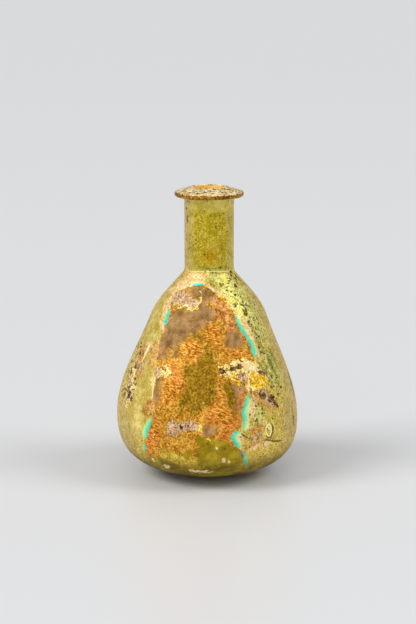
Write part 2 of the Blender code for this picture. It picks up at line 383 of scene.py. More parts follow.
        Stroke(150.5, 316, 0.3, 146.5, 324, 0.8, 143, 333, 0.3),
    ),
    Zone.STAIN: (
        Patch(206, 250, 212, 250, 213.6, 258, 211.6, 267, 206.8, 266, 205.2, 258),
    ),
    # The neck's middle: olive glass, brightened by painted light coming through it
    Zone.LUSTRE: (
        Patch(192, 208, 224, 208, 229, 230, 227, 262, 230, 271, 196, 271, 191, 240),
    ),
}

LINES: dict[Zone, tuple[Stroke, ...]] = {
    Zone.GLINT: (
        # The first line is a painted highlight along the joint of neck and shoulder; the others are pale
        # lips of film and flakes and the pale outline of a ring scar
        Stroke(188, 271.3, 0.2, 200, 271.6, 0.55, 216, 271.7, 0.5, 230, 271.2, 0.3),
        Stroke(199.8, 290.6, 0.5, 201.8, 293.4, 0.3),
        Stroke(268.8, 437.2, 0.6, 266.2, 432.4, 0.8, 266.2, 427.4, 0.8, 268.6, 424.2, 0.9, 271, 425.6, 0.8,
               271.6, 431, 0.7, 270, 436.2, 0.6),
        Stroke(268.8, 427.4, 0.8, 269, 428.8, 0.8),
        Stroke(155, 376, 0.2, 153.6, 384, 0.5, 152.4, 392, 0.5, 151.8, 399, 0.2),
        Stroke(149.8, 343.6, 0.3, 147.2, 349.6, 1.2, 144.2, 356, 0.9, 140.6, 363.6, 0.2),
        Stroke(201.4, 296.6, 0.4, 201, 301, 0.7, 196.4, 307, 0.5, 192, 310.4, 0.7, 187, 308.2, 0.3),
    ),
    Zone.SCAR: (
        Stroke(261.6, 440.8, 0.3, 266, 439.8, 0.9, 271.4, 440.8, 0.6, 276, 441.4, 1, 282.4, 440.2, 0.5),
        Stroke(271.6, 423.4, 0.3, 273, 427.6, 0.8, 272.8, 432.6, 0.8, 271, 436.8, 0.7, 268.4, 438.2, 0.5,
               266, 435.4, 0.3),
        Stroke(287.6, 371, 0.2, 290.6, 380, 0.6, 293, 390, 0.5, 294.4, 397, 0.2),
        Stroke(292.7, 409.8, 0.2, 293.5, 417, 0.6, 293.7, 426.4, 0.2),
        Stroke(241.5, 433.5, 0.4, 244, 435.6, 0.9, 249.5, 438.9, 0.3),
        Stroke(187.4, 249.8, 0.35, 193, 245.2, 0.3, 199.8, 240.3, 0.1),
        Stroke(204.8, 271.4, 0.8, 205.6, 271.9, 0.8),
        Stroke(212.4, 272.8, 0.8, 213.2, 272.6, 0.8),
        Stroke(215.4, 272.6, 0.8, 216, 272.6, 0.8),
        Stroke(231.2, 270.8, 0.7, 232, 272.4, 0.7),
        Stroke(216, 223.2, 0.9, 216.4, 223.9, 0.9),
        Stroke(216, 227.7, 0.9, 216.3, 228.5, 0.9),
        Stroke(223.6, 212.6, 0.7, 224.2, 214.6, 0.6),
        Stroke(186, 206, 0.4, 186.6, 209.6, 0.5),
        Stroke(187.6, 216, 0.6, 187.2, 222, 0.6),
        Stroke(186.2, 238.4, 0.6, 186.6, 240.2, 0.6),
        Stroke(219.6, 267.6, 0.8, 221, 267.2, 0.8),
        Stroke(225.4, 266.6, 0.7, 226, 266.2, 0.7),
        Stroke(229.4, 253.2, 0.6, 229.8, 254, 0.6),
        Stroke(221.4, 239.8, 0.6, 221.8, 240.6, 0.6),
    ),
}


def linear_colour(code: str) -> tuple[float, float, float, float]:
    """Turn an sRGB hex colour into the linear values that shaders take.

    Args:
        code: Six hex digits, red first.

    Returns:
        Linear red, green, blue and an alpha of one.
    """
    shares = [int(code[i : i + 2], 16) / 255 for i in (0, 2, 4)]
    values = [s / 12.92 if s <= 0.04045 else ((s + 0.055) / 1.055) ** 2.4 for s in shares]
    return (values[0], values[1], values[2], 1.0)


@dataclass(frozen=True)
class PhotoCamera:
    """A long lens a little above the flask, as the photograph was taken."""

    lens: float = 100.0
    sensor: float = 36.0
    distance: float = 659.0
    elevation: float = math.radians(11.5)
    aim_height: float = 61.9
    aim_across: float = 0.30
    frame_width: float = 416.0
    frame_height: float = 624.0
    # From and to here it sees, in metres
    clip_start: float = 0.01
    clip_end: float = 100.0

    def back(self) -> Vector:
        """The unit step from what the camera aims at towards the camera."""
        return Vector((0.0, -math.cos(self.elevation), math.sin(self.elevation)))

    def stand(self) -> Vector:
        """Where the camera stands."""
        return Vector((self.aim_across, 0.0, self.aim_height)) + self.back() * self.distance

    def place(self) -> None:
        """Make the camera and look through it."""
        data = bpy.data.cameras.new("photo_camera")
        data.lens = self.lens
        data.sensor_width = self.sensor
        data.clip_start = self.clip_start
        data.clip_end = self.clip_end
        camera = bpy.data.objects.new("photo_camera", data)
        camera.location = self.stand() * MM
        camera.rotation_euler = (-self.back()).to_track_quat("-Z", "Y").to_euler()
        bpy.context.scene.collection.objects.link(camera)
        bpy.context.scene.camera = camera

    def pixels(self, points: Array) -> Array:
        """Find where points of the flask show in the photograph.

        Args:
            points: One point a row.

        Returns:
            One pixel position a row, across and down.
        """
        away = points - np.array(self.stand())
        depth = away @ -np.array(self.back())
        up = np.array((0.0, math.sin(self.elevation), math.cos(self.elevation)))
        focal = self.frame_height * self.lens / self.sensor
        across = self.frame_width / 2 + focal * away[:, 0] / depth
        down = self.frame_height / 2 - focal * (away @ up) / depth
        return np.stack([across, down], axis=1)

    def facing(self, points: Array, normals: Array) -> Array:
        """How squarely each point faces the camera, from -1 to 1."""
        towards = np.array(self.stand()) - points
        towards /= np.linalg.norm(towards, axis=1)[:, None]
        return np.einsum("ij,ij->i", towards, normals)

    def pixel_size(self) -> float:
        """How many millimetres of the flask one pixel covers."""
        return self.distance * self.sensor / (self.frame_height * self.lens)


def line_measures(spots: Array, strokes: tuple[Stroke, ...]) -> tuple[Array, Array]:
    """Measure where spots lie beside thin lines, in two values that stay exact between vertices.

    Args:
        spots: One spot a row.
        strokes: The lines.

    Returns:
        How far each spot lies to one side of its nearest line, and how wide the line may be there,
        which falls below zero past its ends.
    """
    far = 99.0
    across = np.full(len(spots), far)
    room = np.full(len(spots), -far)
    for stroke in strokes:
        last = len(stroke.points) - 2
        nearest = np.full(len(spots), np.inf)
        side = np.full(len(spots), far)
        width = np.full(len(spots), -far)
        for number, (start, end) in enumerate(zip(stroke.points, stroke.points[1:])):
            run = end[:2] - start[:2]
            length = float(np.linalg.norm(run))
            away = spots - start[:2]
            share = away @ run / length**2
            low = -np.inf if number == 0 else 0.0
            high = np.inf if number == last else 1.0
            held = np.clip(share, low, high)
            on_it = np.clip(share, 0.0, 1.0)
            beyond = np.where(held == share, np.abs(share - on_it) * length, 0.0)
            distance = np.linalg.norm(away - held[:, None] * run, axis=1)
            sign = np.where(away[:, 1] * run[0] < away[:, 0] * run[1], -1.0, 1.0)
            ranked = np.hypot(distance, beyond)
            closer = ranked < nearest
            nearest = np.where(closer, ranked, nearest)
            side = np.where(closer, sign * distance, side)
            here = start[2] + (end[2] - start[2]) * on_it
            width = np.where(closer, here - beyond, width)
        better = width - np.abs(side) > room - np.abs(across)
        across = np.where(better, side, across)
        room = np.where(better, width, room)
    return across, room


def ease(values: Array, low: float, high: float) -> Array:
    """Turn values into a smooth step, 0 at low and 1 at high."""
    share = np.clip((values - low) / (high - low), 0.0, 1.0)
    return share * share * (3 - 2 * share)


def noise_at(points: Array, size: float, seed: float) -> Array:
    """Read smooth noise at points.

    Args:
        points: One point a row.
        size: How large the noise's lumps are.
        seed: A shift that picks another stretch of the noise.

    Returns:
        One value a point, about -1 to 1.
    """
    shift = Vector((seed, -seed, 2 * seed))
    return np.array([noise.noise(Vector(p) / size + shift) for p in points])


@dataclass
class FlaskForm:
    """The blown form: a turned section, then the lean and sag that the blowing left."""

    total_height: float
    belly_radius: float
    foot_radius: float = 10.0
    foot_ring_width: float = 3.5
    foot_dish_depth: float = 0.6
    underside_angle: float = math.radians(12.0)
    belly_height: float = 22.0
    shoulder_radius: float = 22.1
    shoulder_height: float = 61.1
    shoulder_angle: float = math.radians(20.0)
    neck_radius: float = 9.4
    neck_start_height: float = 79.6
    neck_curve_radius: float = 3.6
    neck_curve_turn: float = math.radians(39.0)
    rim_overhang: float = 3.7
    rim_thickness: float = 2.2
    rim_slope: float = math.radians(16.5)
    rim_root_fillet: float = 0.9
    mouth_fold: float = 1.2
    mouth_fold_height: float = 3.8
    lip_rounding: float = 0.7
    neck_wall: float = 2.2
    body_wall: float = 1.8
    base_wall: float = 3.0
    neck_lean: float = 0.75
    body_slump: float = math.radians(1.5)
    even_pull: float = 0.33
    belly_pull: float = 0.47
    underside_pull: float = 0.48
    mouth_pull: float = 0.45
    turn_steps: int = 320
    body_step: float = 0.66
    rim_step: float = 0.36
    inner_step: float = 2.6
    arc_steps: int = 12
    curve_steps: int = 60
    floor_steps: int = 8
    dish_steps: int = 6
    weld: float = 0.002

    def arc(self, centre: tuple[float, float], radius: float, start: float, end: float) -> Line:
        """Draw an arc.

        Args:
            centre: The arc's centre, as radius and height.
            radius: The arc's own radius.
            start: Where it starts, counted from the outward direction towards up.
            end: Where it ends.

        Returns:
            Points along the arc.
        """
        angles = [start + (end - start) * i / self.arc_steps for i in range(self.arc_steps + 1)]
        return [(centre[0] + radius * math.cos(a), centre[1] + radius * math.sin(a)) for a in angles]

    def curve(
        self,
        start: tuple[float, float],
        start_angle: float,
        end: tuple[float, float],
        end_angle: float,
        pulls: tuple[float, float],
    ) -> Line:
        """Draw a cubic curve between two points.

        Args:
            start: The first point, as radius and height.
            start_angle: How it leaves it, from straight down towards outwards.
            end: The last point.
            end_angle: How it arrives there.
            pulls: How far it runs on along each end, as shares of the chord.

        Returns:
            Points along the curve.
        """
        chord = math.dist(start, end)
        first = (
            start[0] + math.sin(start_angle) * chord * pulls[0],
            start[1] - math.cos(start_angle) * chord * pulls[0],
        )
        last = (
            end[0] - math.sin(end_angle) * chord * pulls[1],
            end[1] + math.cos(end_angle) * chord * pulls[1],
        )
        corners = np.array((start, first, last, end))
        line = []
        for i in range(self.curve_steps + 1):
            t = i / self.curve_steps
            weights = np.array(((1 - t) ** 3, 3 * (1 - t) ** 2 * t, 3 * (1 - t) * t**2, t**3))
            radius, height = weights @ corners
            line.append((float(radius), float(height)))
        return line

    @staticmethod
    def evened(line: Line, step: float) -> Line:
        """Space a line's points evenly.

        Args:
            line: Points close together.
            step: About how far apart the new points stand.

        Returns:
            The evenly spaced points, ends kept.
        """
        points = np.array(line)
        runs = np.concatenate([[0.0], np.cumsum(np.linalg.norm(np.diff(points, axis=0), axis=1))])
        count = max(1, round(float(runs[-1]) / step))
        wanted = np.linspace(0.0, runs[-1], count + 1)
        radii = np.interp(wanted, runs, points[:, 0])
        heights = np.interp(wanted, runs, points[:, 1])
        return [(float(r), float(h)) for r, h in zip(radii, heights)]

    @staticmethod
    def dished(radius: float, edge: float, middle: float, steps: int) -> Line:
        """Draw a shallow dish from its edge to its middle.

        Args:
            radius: The dish's radius.
            edge: The height of its edge.
            middle: The height of its middle.
            steps: How many stretches it is drawn in.

        Returns:
            Points along half its section.
        """
        line = []
        for share in np.linspace(0.0, 1.0, steps + 1).tolist():
            rise = 0.5 - 0.5 * math.cos(math.pi * share)
            line.append((radius * (1 - share), edge + (middle - edge) * rise))
        return line

    def body_line(self) -> tuple[Line, list[float]]:
        """Draw the outside from the neck's foot down to the foot ring.

        Returns:
            The points, and the thickness of the glass at each.
        """
        middle = (self.neck_radius + self.neck_curve_radius, self.neck_start_height)
        hollow = self.arc(middle, self.neck_curve_radius, math.pi, math.pi + self.neck_curve_turn)
        shoulder = (self.shoulder_radius, self.shoulder_height)
        belly = (self.belly_radius, self.belly_height)
        foot = (self.foot_radius, 0.0)
        even = (self.even_pull, self.even_pull)
        full = (self.belly_pull, self.underside_pull)
        arrive = self.underside_angle - math.pi / 2
        upper = self.curve(hollow[-1], self.neck_curve_turn, shoulder, self.shoulder_angle, even)
        flank = self.curve(shoulder, self.shoulder_angle, belly, 0.0, even)
        lower = self.curve(belly, 0.0, foot, arrive, full)
        line = hollow + upper[1:] + flank[1:] + lower[1:]
        walls = list(np.linspace(self.neck_wall, self.body_wall, len(hollow)))
        walls += [self.body_wall] * (len(upper) + len(flank) - 2)
        walls += list(np.linspace(self.body_wall, self.base_wall, len(lower)))[1:]
        return line, walls

    def inner_line(self) -> Line:
        """Draw the inside from the neck's foot down to the middle of the floor."""
        line, walls = self.body_line()
        points = np.array(line)
        steps = np.gradient(points, axis=0)
        steps /= np.linalg.norm(steps, axis=1)[:, None]
        inward = np.stack([steps[:, 1], -steps[:, 0]], axis=1)
        inner = [(float(r), float(h)) for r, h in points + inward * np.array(walls)[:, None]]
        middle = self.foot_dish_depth + self.base_wall
        return inner + self.dished(*inner[-1], middle, self.floor_steps)[1:]

    def rim_lines(self) -> tuple[Line, Line]:
        """Draw the folded mouth and the rim.

        Returns:
            The inside up to the lip, and the outside from the lip to the neck.
        """
        bore = self.neck_radius - self.neck_wall
        mouth = bore - self.mouth_fold
        edge = self.rim_thickness / 2
        lip_middle = (mouth + self.lip_rounding, self.total_height - self.lip_rounding)
        fold_start = (bore, lip_middle[1] - self.mouth_fold_height)
        pulls = (self.mouth_pull, self.mouth_pull)
        fold = self.curve((mouth, lip_middle[1]), 0.0, fold_start, 0.0, pulls)
        fold.reverse()
        up_slope = math.pi / 2 - self.rim_slope
        lip = self.arc(lip_middle, self.lip_rounding, math.pi, up_slope)
        edge_radius = self.neck_radius + self.rim_overhang - edge
        fall = (edge_radius - lip_middle[0]) * math.sin(self.rim_slope) - (self.lip_rounding - edge)
        edge_middle = (edge_radius, lip_middle[1] - fall / math.cos(self.rim_slope))
        outer_edge = self.arc(edge_middle, edge, up_slope, -math.pi / 2)
        under = edge_middle[1] - edge
        root_middle = (self.neck_radius + self.rim_root_fillet, under - self.rim_root_fillet)
        root = self.arc(root_middle, self.rim_root_fillet, math.pi / 2, math.pi)
        return fold, lip + outer_edge + root

    def section(self) -> tuple[Line, int]:
        """Draw the whole section from the inner floor up, over the rim and down to the foot.

        Returns:
            The points, and how many of them belong to the inside.
        """
        fold, rim = self.rim_lines()
        body, _ = self.body_line()
        inside = self.inner_line()
        inside.reverse()
        inner = self.evened(inside + fold[:1], self.inner_step)
        inner += self.evened(fold, self.inner_step / 2)[1:]
        dish_radius = self.foot_radius - self.foot_ring_width
        dish = self.dished(dish_radius, 0.0, self.foot_dish_depth, self.dish_steps)
        outer = self.evened(rim, self.rim_step)[1:]
        outer += self.evened([rim[-1]] + body, self.body_step)[1:]
        outer += self.evened([body[-1]] + dish, self.body_step)[1:]
        return inner + outer, len(inner)

    def blown(self, points: Array) -> Array:
        """Move points of the true turned form to where the blowing left them.

        Args:
            points: One point a row.

        Returns:
            The moved points: the body sank a little to one side, and the neck leans.
        """
        x, y, z = points.T
        span = self.neck_start_height - self.belly_height
        share = np.clip((z - self.belly_height) / span, 0.0, 1.0)
        above = 0.5 + 0.5 * np.cos(math.pi * share)
        below = np.sin(math.pi / 2 * np.clip(z / self.belly_height, 0.0, 1.0))
        is_low = z < self.belly_height
        sunk = np.where(is_low, below, above)
        lean = np.where(is_low, 0.0, 1.0 - above)
        slope = math.tan(self.body_slump)
        return np.stack([x + self.neck_lean * lean, y, z - slope * x * sunk], axis=1)

    def turned(self) -> tuple[bmesh.types.BMesh, bmesh.types.BMLayerItem]:
        """Turn the section round the axis.

        Returns:
            The closed mesh, and its layer that is 1 on the outside and 0 on the inside.
        """
        mesh = bmesh.new()
        skin = mesh.verts.layers.float.new("skin")
        line, inner_count = self.section()
        corners = []
        for number, (radius, height) in enumerate(line):
            corner = mesh.verts.new((radius, 0.0, height))
            corner[skin] = 0.0 if number < inner_count else 1.0
            corners.append(corner)
        edges = [mesh.edges.new(pair) for pair in zip(corners, corners[1:])]
        bmesh.ops.spin(
            mesh,
            geom=corners + edges,
            cent=(0.0, 0.0, 0.0),
            axis=(0.0, 0.0, 1.0),
            dvec=(0.0, 0.0, 0.0),
            angle=math.tau,
            steps=self.turn_steps,
            use_merge=True,
            use_normal_flip=False,
            use_duplicate=False,
        )
        bmesh.ops.remove_doubles(mesh, verts=mesh.verts, dist=self.weld)
        bmesh.ops.recalc_face_normals(mesh, faces=mesh.faces)
        return mesh, skin


@dataclass(frozen=True)
class Waves:
    """Unevenness of the surface: the waves' size and height, and a seed that picks them."""

    size: float
    seed: float
    height: float


@dataclass(frozen=True)
class Hidden:
    """A zone on the side that the photograph doesn't show: its patches' size, seed and rarity."""

    zone: Zone
    size: float
    seed: float
    rarity: float


@dataclass
class WeatheredSkin:
    """Lays the zones onto the glass, and raises or sinks each by its real depth.

    The arrays have one row a vertex: where it is, the outward direction there, and if it is outside.
    """

    camera: PhotoCamera
    form: FlaskForm
    points: Array
    normals: Array
    is_outside: Array
    fringe_width: float = 2.0
    foot_height: float = 11.0
    # Depths are told up to this far from a zone's edge
    reach: float = 6.0
    depths: dict[Zone, Array] = field(default_factory=dict)
    across: dict[Zone, Array] = field(default_factory=dict)

    # How far a point faces away, from -1 to 1, where the drawings end and the hidden side starts
    drawn_end: tuple[float, float] = (-0.02, 0.22)
    hidden_start: tuple[float, float] = (-0.05, 0.25)
    farthest_drawn: float = 0.3
    hidden: tuple[Hidden, ...] = (
        Hidden(Zone.AMBER, 26.0, 3.1, 0.18),
        Hidden(Zone.ORANGE, 9.0, 8.4, 0.25),
        Hidden(Zone.MAUVE, 11.0, 1.7, 0.35),
        Hidden(Zone.OLIVE, 12.0, 5.9, 0.30),
        Hidden(Zone.CRUST, 8.0, 11.3, 0.58),
        Hidden(Zone.YELLOW, 7.0, 13.9, 0.62),
        Hidden(Zone.GREEN, 24.0, 17.2, 0.20),
        Hidden(Zone.BLUSH, 20.0, 19.6, 0.38),
        Hidden(Zone.SPECKS, 16.0, 23.8, 0.10),
        Hidden(Zone.CYAN, 13.0, 29.3, 0.40),
    )
    # Hidden patches are taller than wide, with lumps a third their size and less strong on their edge
    upright: float = 0.6
    lump_share: float = 0.35
    lump_fineness: float = 3.0
    lump_seed: float = 7.0
    steepness: float = 0.8
    # The rim lies this near the top and out from this far inside the neck, and its edge outside the neck
    rim_reach: float = 4.5
    rim_inset: float = 4.0
    rim_outset: float = 0.3
    # Its top has normals that point up by more than the first share, and its edge by less than the second
    top_normal: float = 0.25
    edge_normal: float = 0.62
    normal_length: float = 2.0
    # The depth that gives the plain film its few pits, and how far into the bared field pits thin out
    stray_pits: float = -2.0
    pit_fade: float = 0.8

    # How far each zone stands proud of the film, or lies below it
    relief: tuple[tuple[Zone, float], ...] = (
        (Zone.AMBER, -0.10),
        (Zone.CLEAR, -0.04),
        (Zone.PALE, 0.16),
        (Zone.CRUST, 0.10),
        (Zone.DARK, -0.18),
        (Zone.CREAM, 0.08),
    )
    # The film's broken edges wander, and the blown glass and its rim are a little uneven
    broken: Waves = Waves(1.6, 31.0, 0.35)
    blown: Waves = Waves(14.0, 37.0, 0.06)
    rim_waves: Waves = Waves(2.4, 41.0, 0.09)
    crust_height: float = 0.10
    # From and to these depths the relief of a zone comes in
    relief_edge: tuple[float, float] = (-0.3, 0.35)
    crust_edge: tuple[float, float] = (-0.2, 0.6)
    rim_edge: tuple[float, float] = (-2.0, 0.2)
    # Below this height the foot ring stays true, so that the flask stands flat
    smooth_foot: float = 0.8

    def only(self, where: Array, depth: Array | float) -> Array:
        """A depth where it applies, and far outside the zone elsewhere."""
        return np.where(where, depth, -self.reach)

    def hidden_depth(self, patches: Hidden) -> Array:
        """Scatter a zone over the side that the photograph doesn't show.

        Args:
            patches: The zone and its patches.

        Returns:
            The depth inside the patches, positive inside them.
        """
        stretched = self.points * np.array((1.0, 1.0, self.upright))
        coarse = noise_at(stretched, patches.size, patches.seed)
        fine = noise_at(stretched, patches.size / self.lump_fineness, patches.seed + self.lump_seed)
        return (coarse + self.lump_share * fine - patches.rarity) * patches.size * self.steepness

    def lay_drawings(self) -> None:
        """Work out the depth of what the photograph shows."""
        scale = self.camera.pixel_size()
        facing = self.camera.facing(self.points, self.normals)
        near = self.is_outside & (facing > -self.farthest_drawn)
        spots = self.camera.pixels(self.points)[near]
        beyond = (self.reach * ease(-facing, *self.drawn_end))[near]
        for zone, strokes in LINES.items():
            sides = np.full(len(near), self.reach)
            rooms = np.full(len(near), -self.reach)
            across, room = line_measures(spots, strokes)
            sides[near] = across * scale
            rooms[near] = room * scale - beyond
            self.across[zone] = np.clip(sides, -self.reach, self.reach)
            self.depths[zone] = rooms
        for zone, shapes in DRAWINGS.items():
            drawn = np.full(len(near), -self.reach)
            drawn[near] = np.max([shape.depth(spots) for shape in shapes], axis=0) * scale - beyond
            self.depths[zone] = drawn

    def lay_hidden(self) -> None:
        """Add patches on the side that the photograph doesn't show, up to the neck."""
        facing = self.camera.facing(self.points, self.normals)
        away = 2 * self.reach * (1 - ease(-facing, *self.hidden_start))
        is_body = self.is_outside & (self.points[:, 2] <= self.form.neck_start_height)
        for patches in self.hidden:
            behind = np.clip(self.hidden_depth(patches), -self.reach, self.reach) - away
            if patches.zone in (Zone.ORANGE, Zone.MAUVE, Zone.OLIVE):
                behind = np.minimum(behind, self.depths[Zone.AMBER])
            self.depths[patches.zone] = np.maximum(self.depths[patches.zone], self.only(is_body, behind))

    def lay(self) -> None:
        """Work out every zone's depth at every point."""
        self.lay_drawings()
        self.lay_hidden()
        form = self.form
        height = self.points[:, 2]
        upward = self.normals[:, 2]
        radius = np.hypot(self.points[:, 0] - form.neck_lean, self.points[:, 1])
        is_high = self.is_outside & (height > form.total_height - self.rim_reach)
        on_rim = is_high & (radius > form.neck_radius - self.rim_inset)
        is_edge = on_rim & (radius > form.neck_radius + self.rim_outset)
        bared = self.depths[Zone.AMBER]
        # Pits keep to the film: few anywhere on it, many where they are drawn, none on the bared glass
        pitted = np.maximum(self.depths[Zone.SPECKS], self.only(self.is_outside, self.stray_pits))
        self.depths |= {
            Zone.INSIDE: self.only(~self.is_outside, self.reach),
            Zone.NECK: self.only(self.is_outside, height - form.neck_start_height),
            Zone.RIM_TOP: self.only(on_rim, (upward - self.top_normal) * self.normal_length),
            # The rim's down-facing edge, painted darker as shade under the rim
            Zone.RIM_EDGE: self.only(is_edge, (self.edge_normal - upward) * self.normal_length),
            Zone.CYAN: np.minimum(self.depths[Zone.CYAN], bared + self.fringe_width),
            Zone.SPECKS: pitted - self.reach * ease(bared, 0.0, self.pit_fade),
            # Painted shade: darker towards the bottom, under the belly
            Zone.FOOT: self.only(self.is_outside, self.foot_height - height),
        }
        for zone in Zone:
            self.depths[zone] = np.clip(self.depths[zone], -self.reach, self.reach)

    def raised(self) -> Array:
        """Raise and sink the surface by its zones.

        Returns:
            The moved points.
        """
        ragged = noise_at(self.points, self.broken.size, self.broken.seed)
        lift = self.blown.height * noise_at(self.points, self.blown.size, self.blown.seed)
        lift -= self.blown.height
        for zone, amount in self.relief:
            lift += amount * ease(self.depths[zone] + self.broken.height * ragged, *self.relief_edge)
        lift += self.crust_height * ragged * ease(self.depths[Zone.CRUST], *self.crust_edge)
        rim = sum(ease(self.depths[zone], *self.rim_edge) for zone in (Zone.RIM_TOP, Zone.RIM_EDGE))
        waves = self.rim_waves.height * noise_at(self.points, self.rim_waves.size, self.rim_waves.seed)
        lift += waves * np.clip(rim, 0.0, 1.0)
        is_free = self.is_outside & (self.points[:, 2] >= self.smooth_foot)
        return self.points + self.normals * np.where(is_free, lift, 0.0)[:, None]


@dataclass(frozen=True)
class Noise:
    """Smooth noise: how large its lumps are, how many finer layers it has and how strong those are."""

    size: float
    layers: float
    rough: float


@dataclass(frozen=True)
class Finish:
    """How one kind of surface looks.

    Its tones run from the pattern's low to its high. Within keeps it to the bared field. Grow moves its
    edge outwards, and ragged and soft are how far that edge wanders and fades. Depth is the height of
    its grain, and rise how far it stands above bare glass. Clear is how much light goes through, and
    leaf how much it mirrors light in its own colour, as leaf metal does.
    """

    zone: Zone
    tones: str
    pattern: Pattern
    strength: float = 1.0
    within: bool = False
    grow: float = 0.0
    ragged: float = 0.7
    soft: float = 0.12
    roughness: float = 0.38
    clear: float = 0.05
    depth: float = 0.04
    rise: float = 0.0
    leaf: float = 0.15


@dataclass(frozen=True)
class Specks:
    """Small marks scattered over the outside, one at most in each cell of their spacing.

    Share is how many of the cells well inside the zone hold one, and spread how far past the zone
    they thin out.
    """

    spacing: float
    radius: float
    tone: str
    zone: Zone
    share: float
    spread: float
    strength: float
    sunk: float


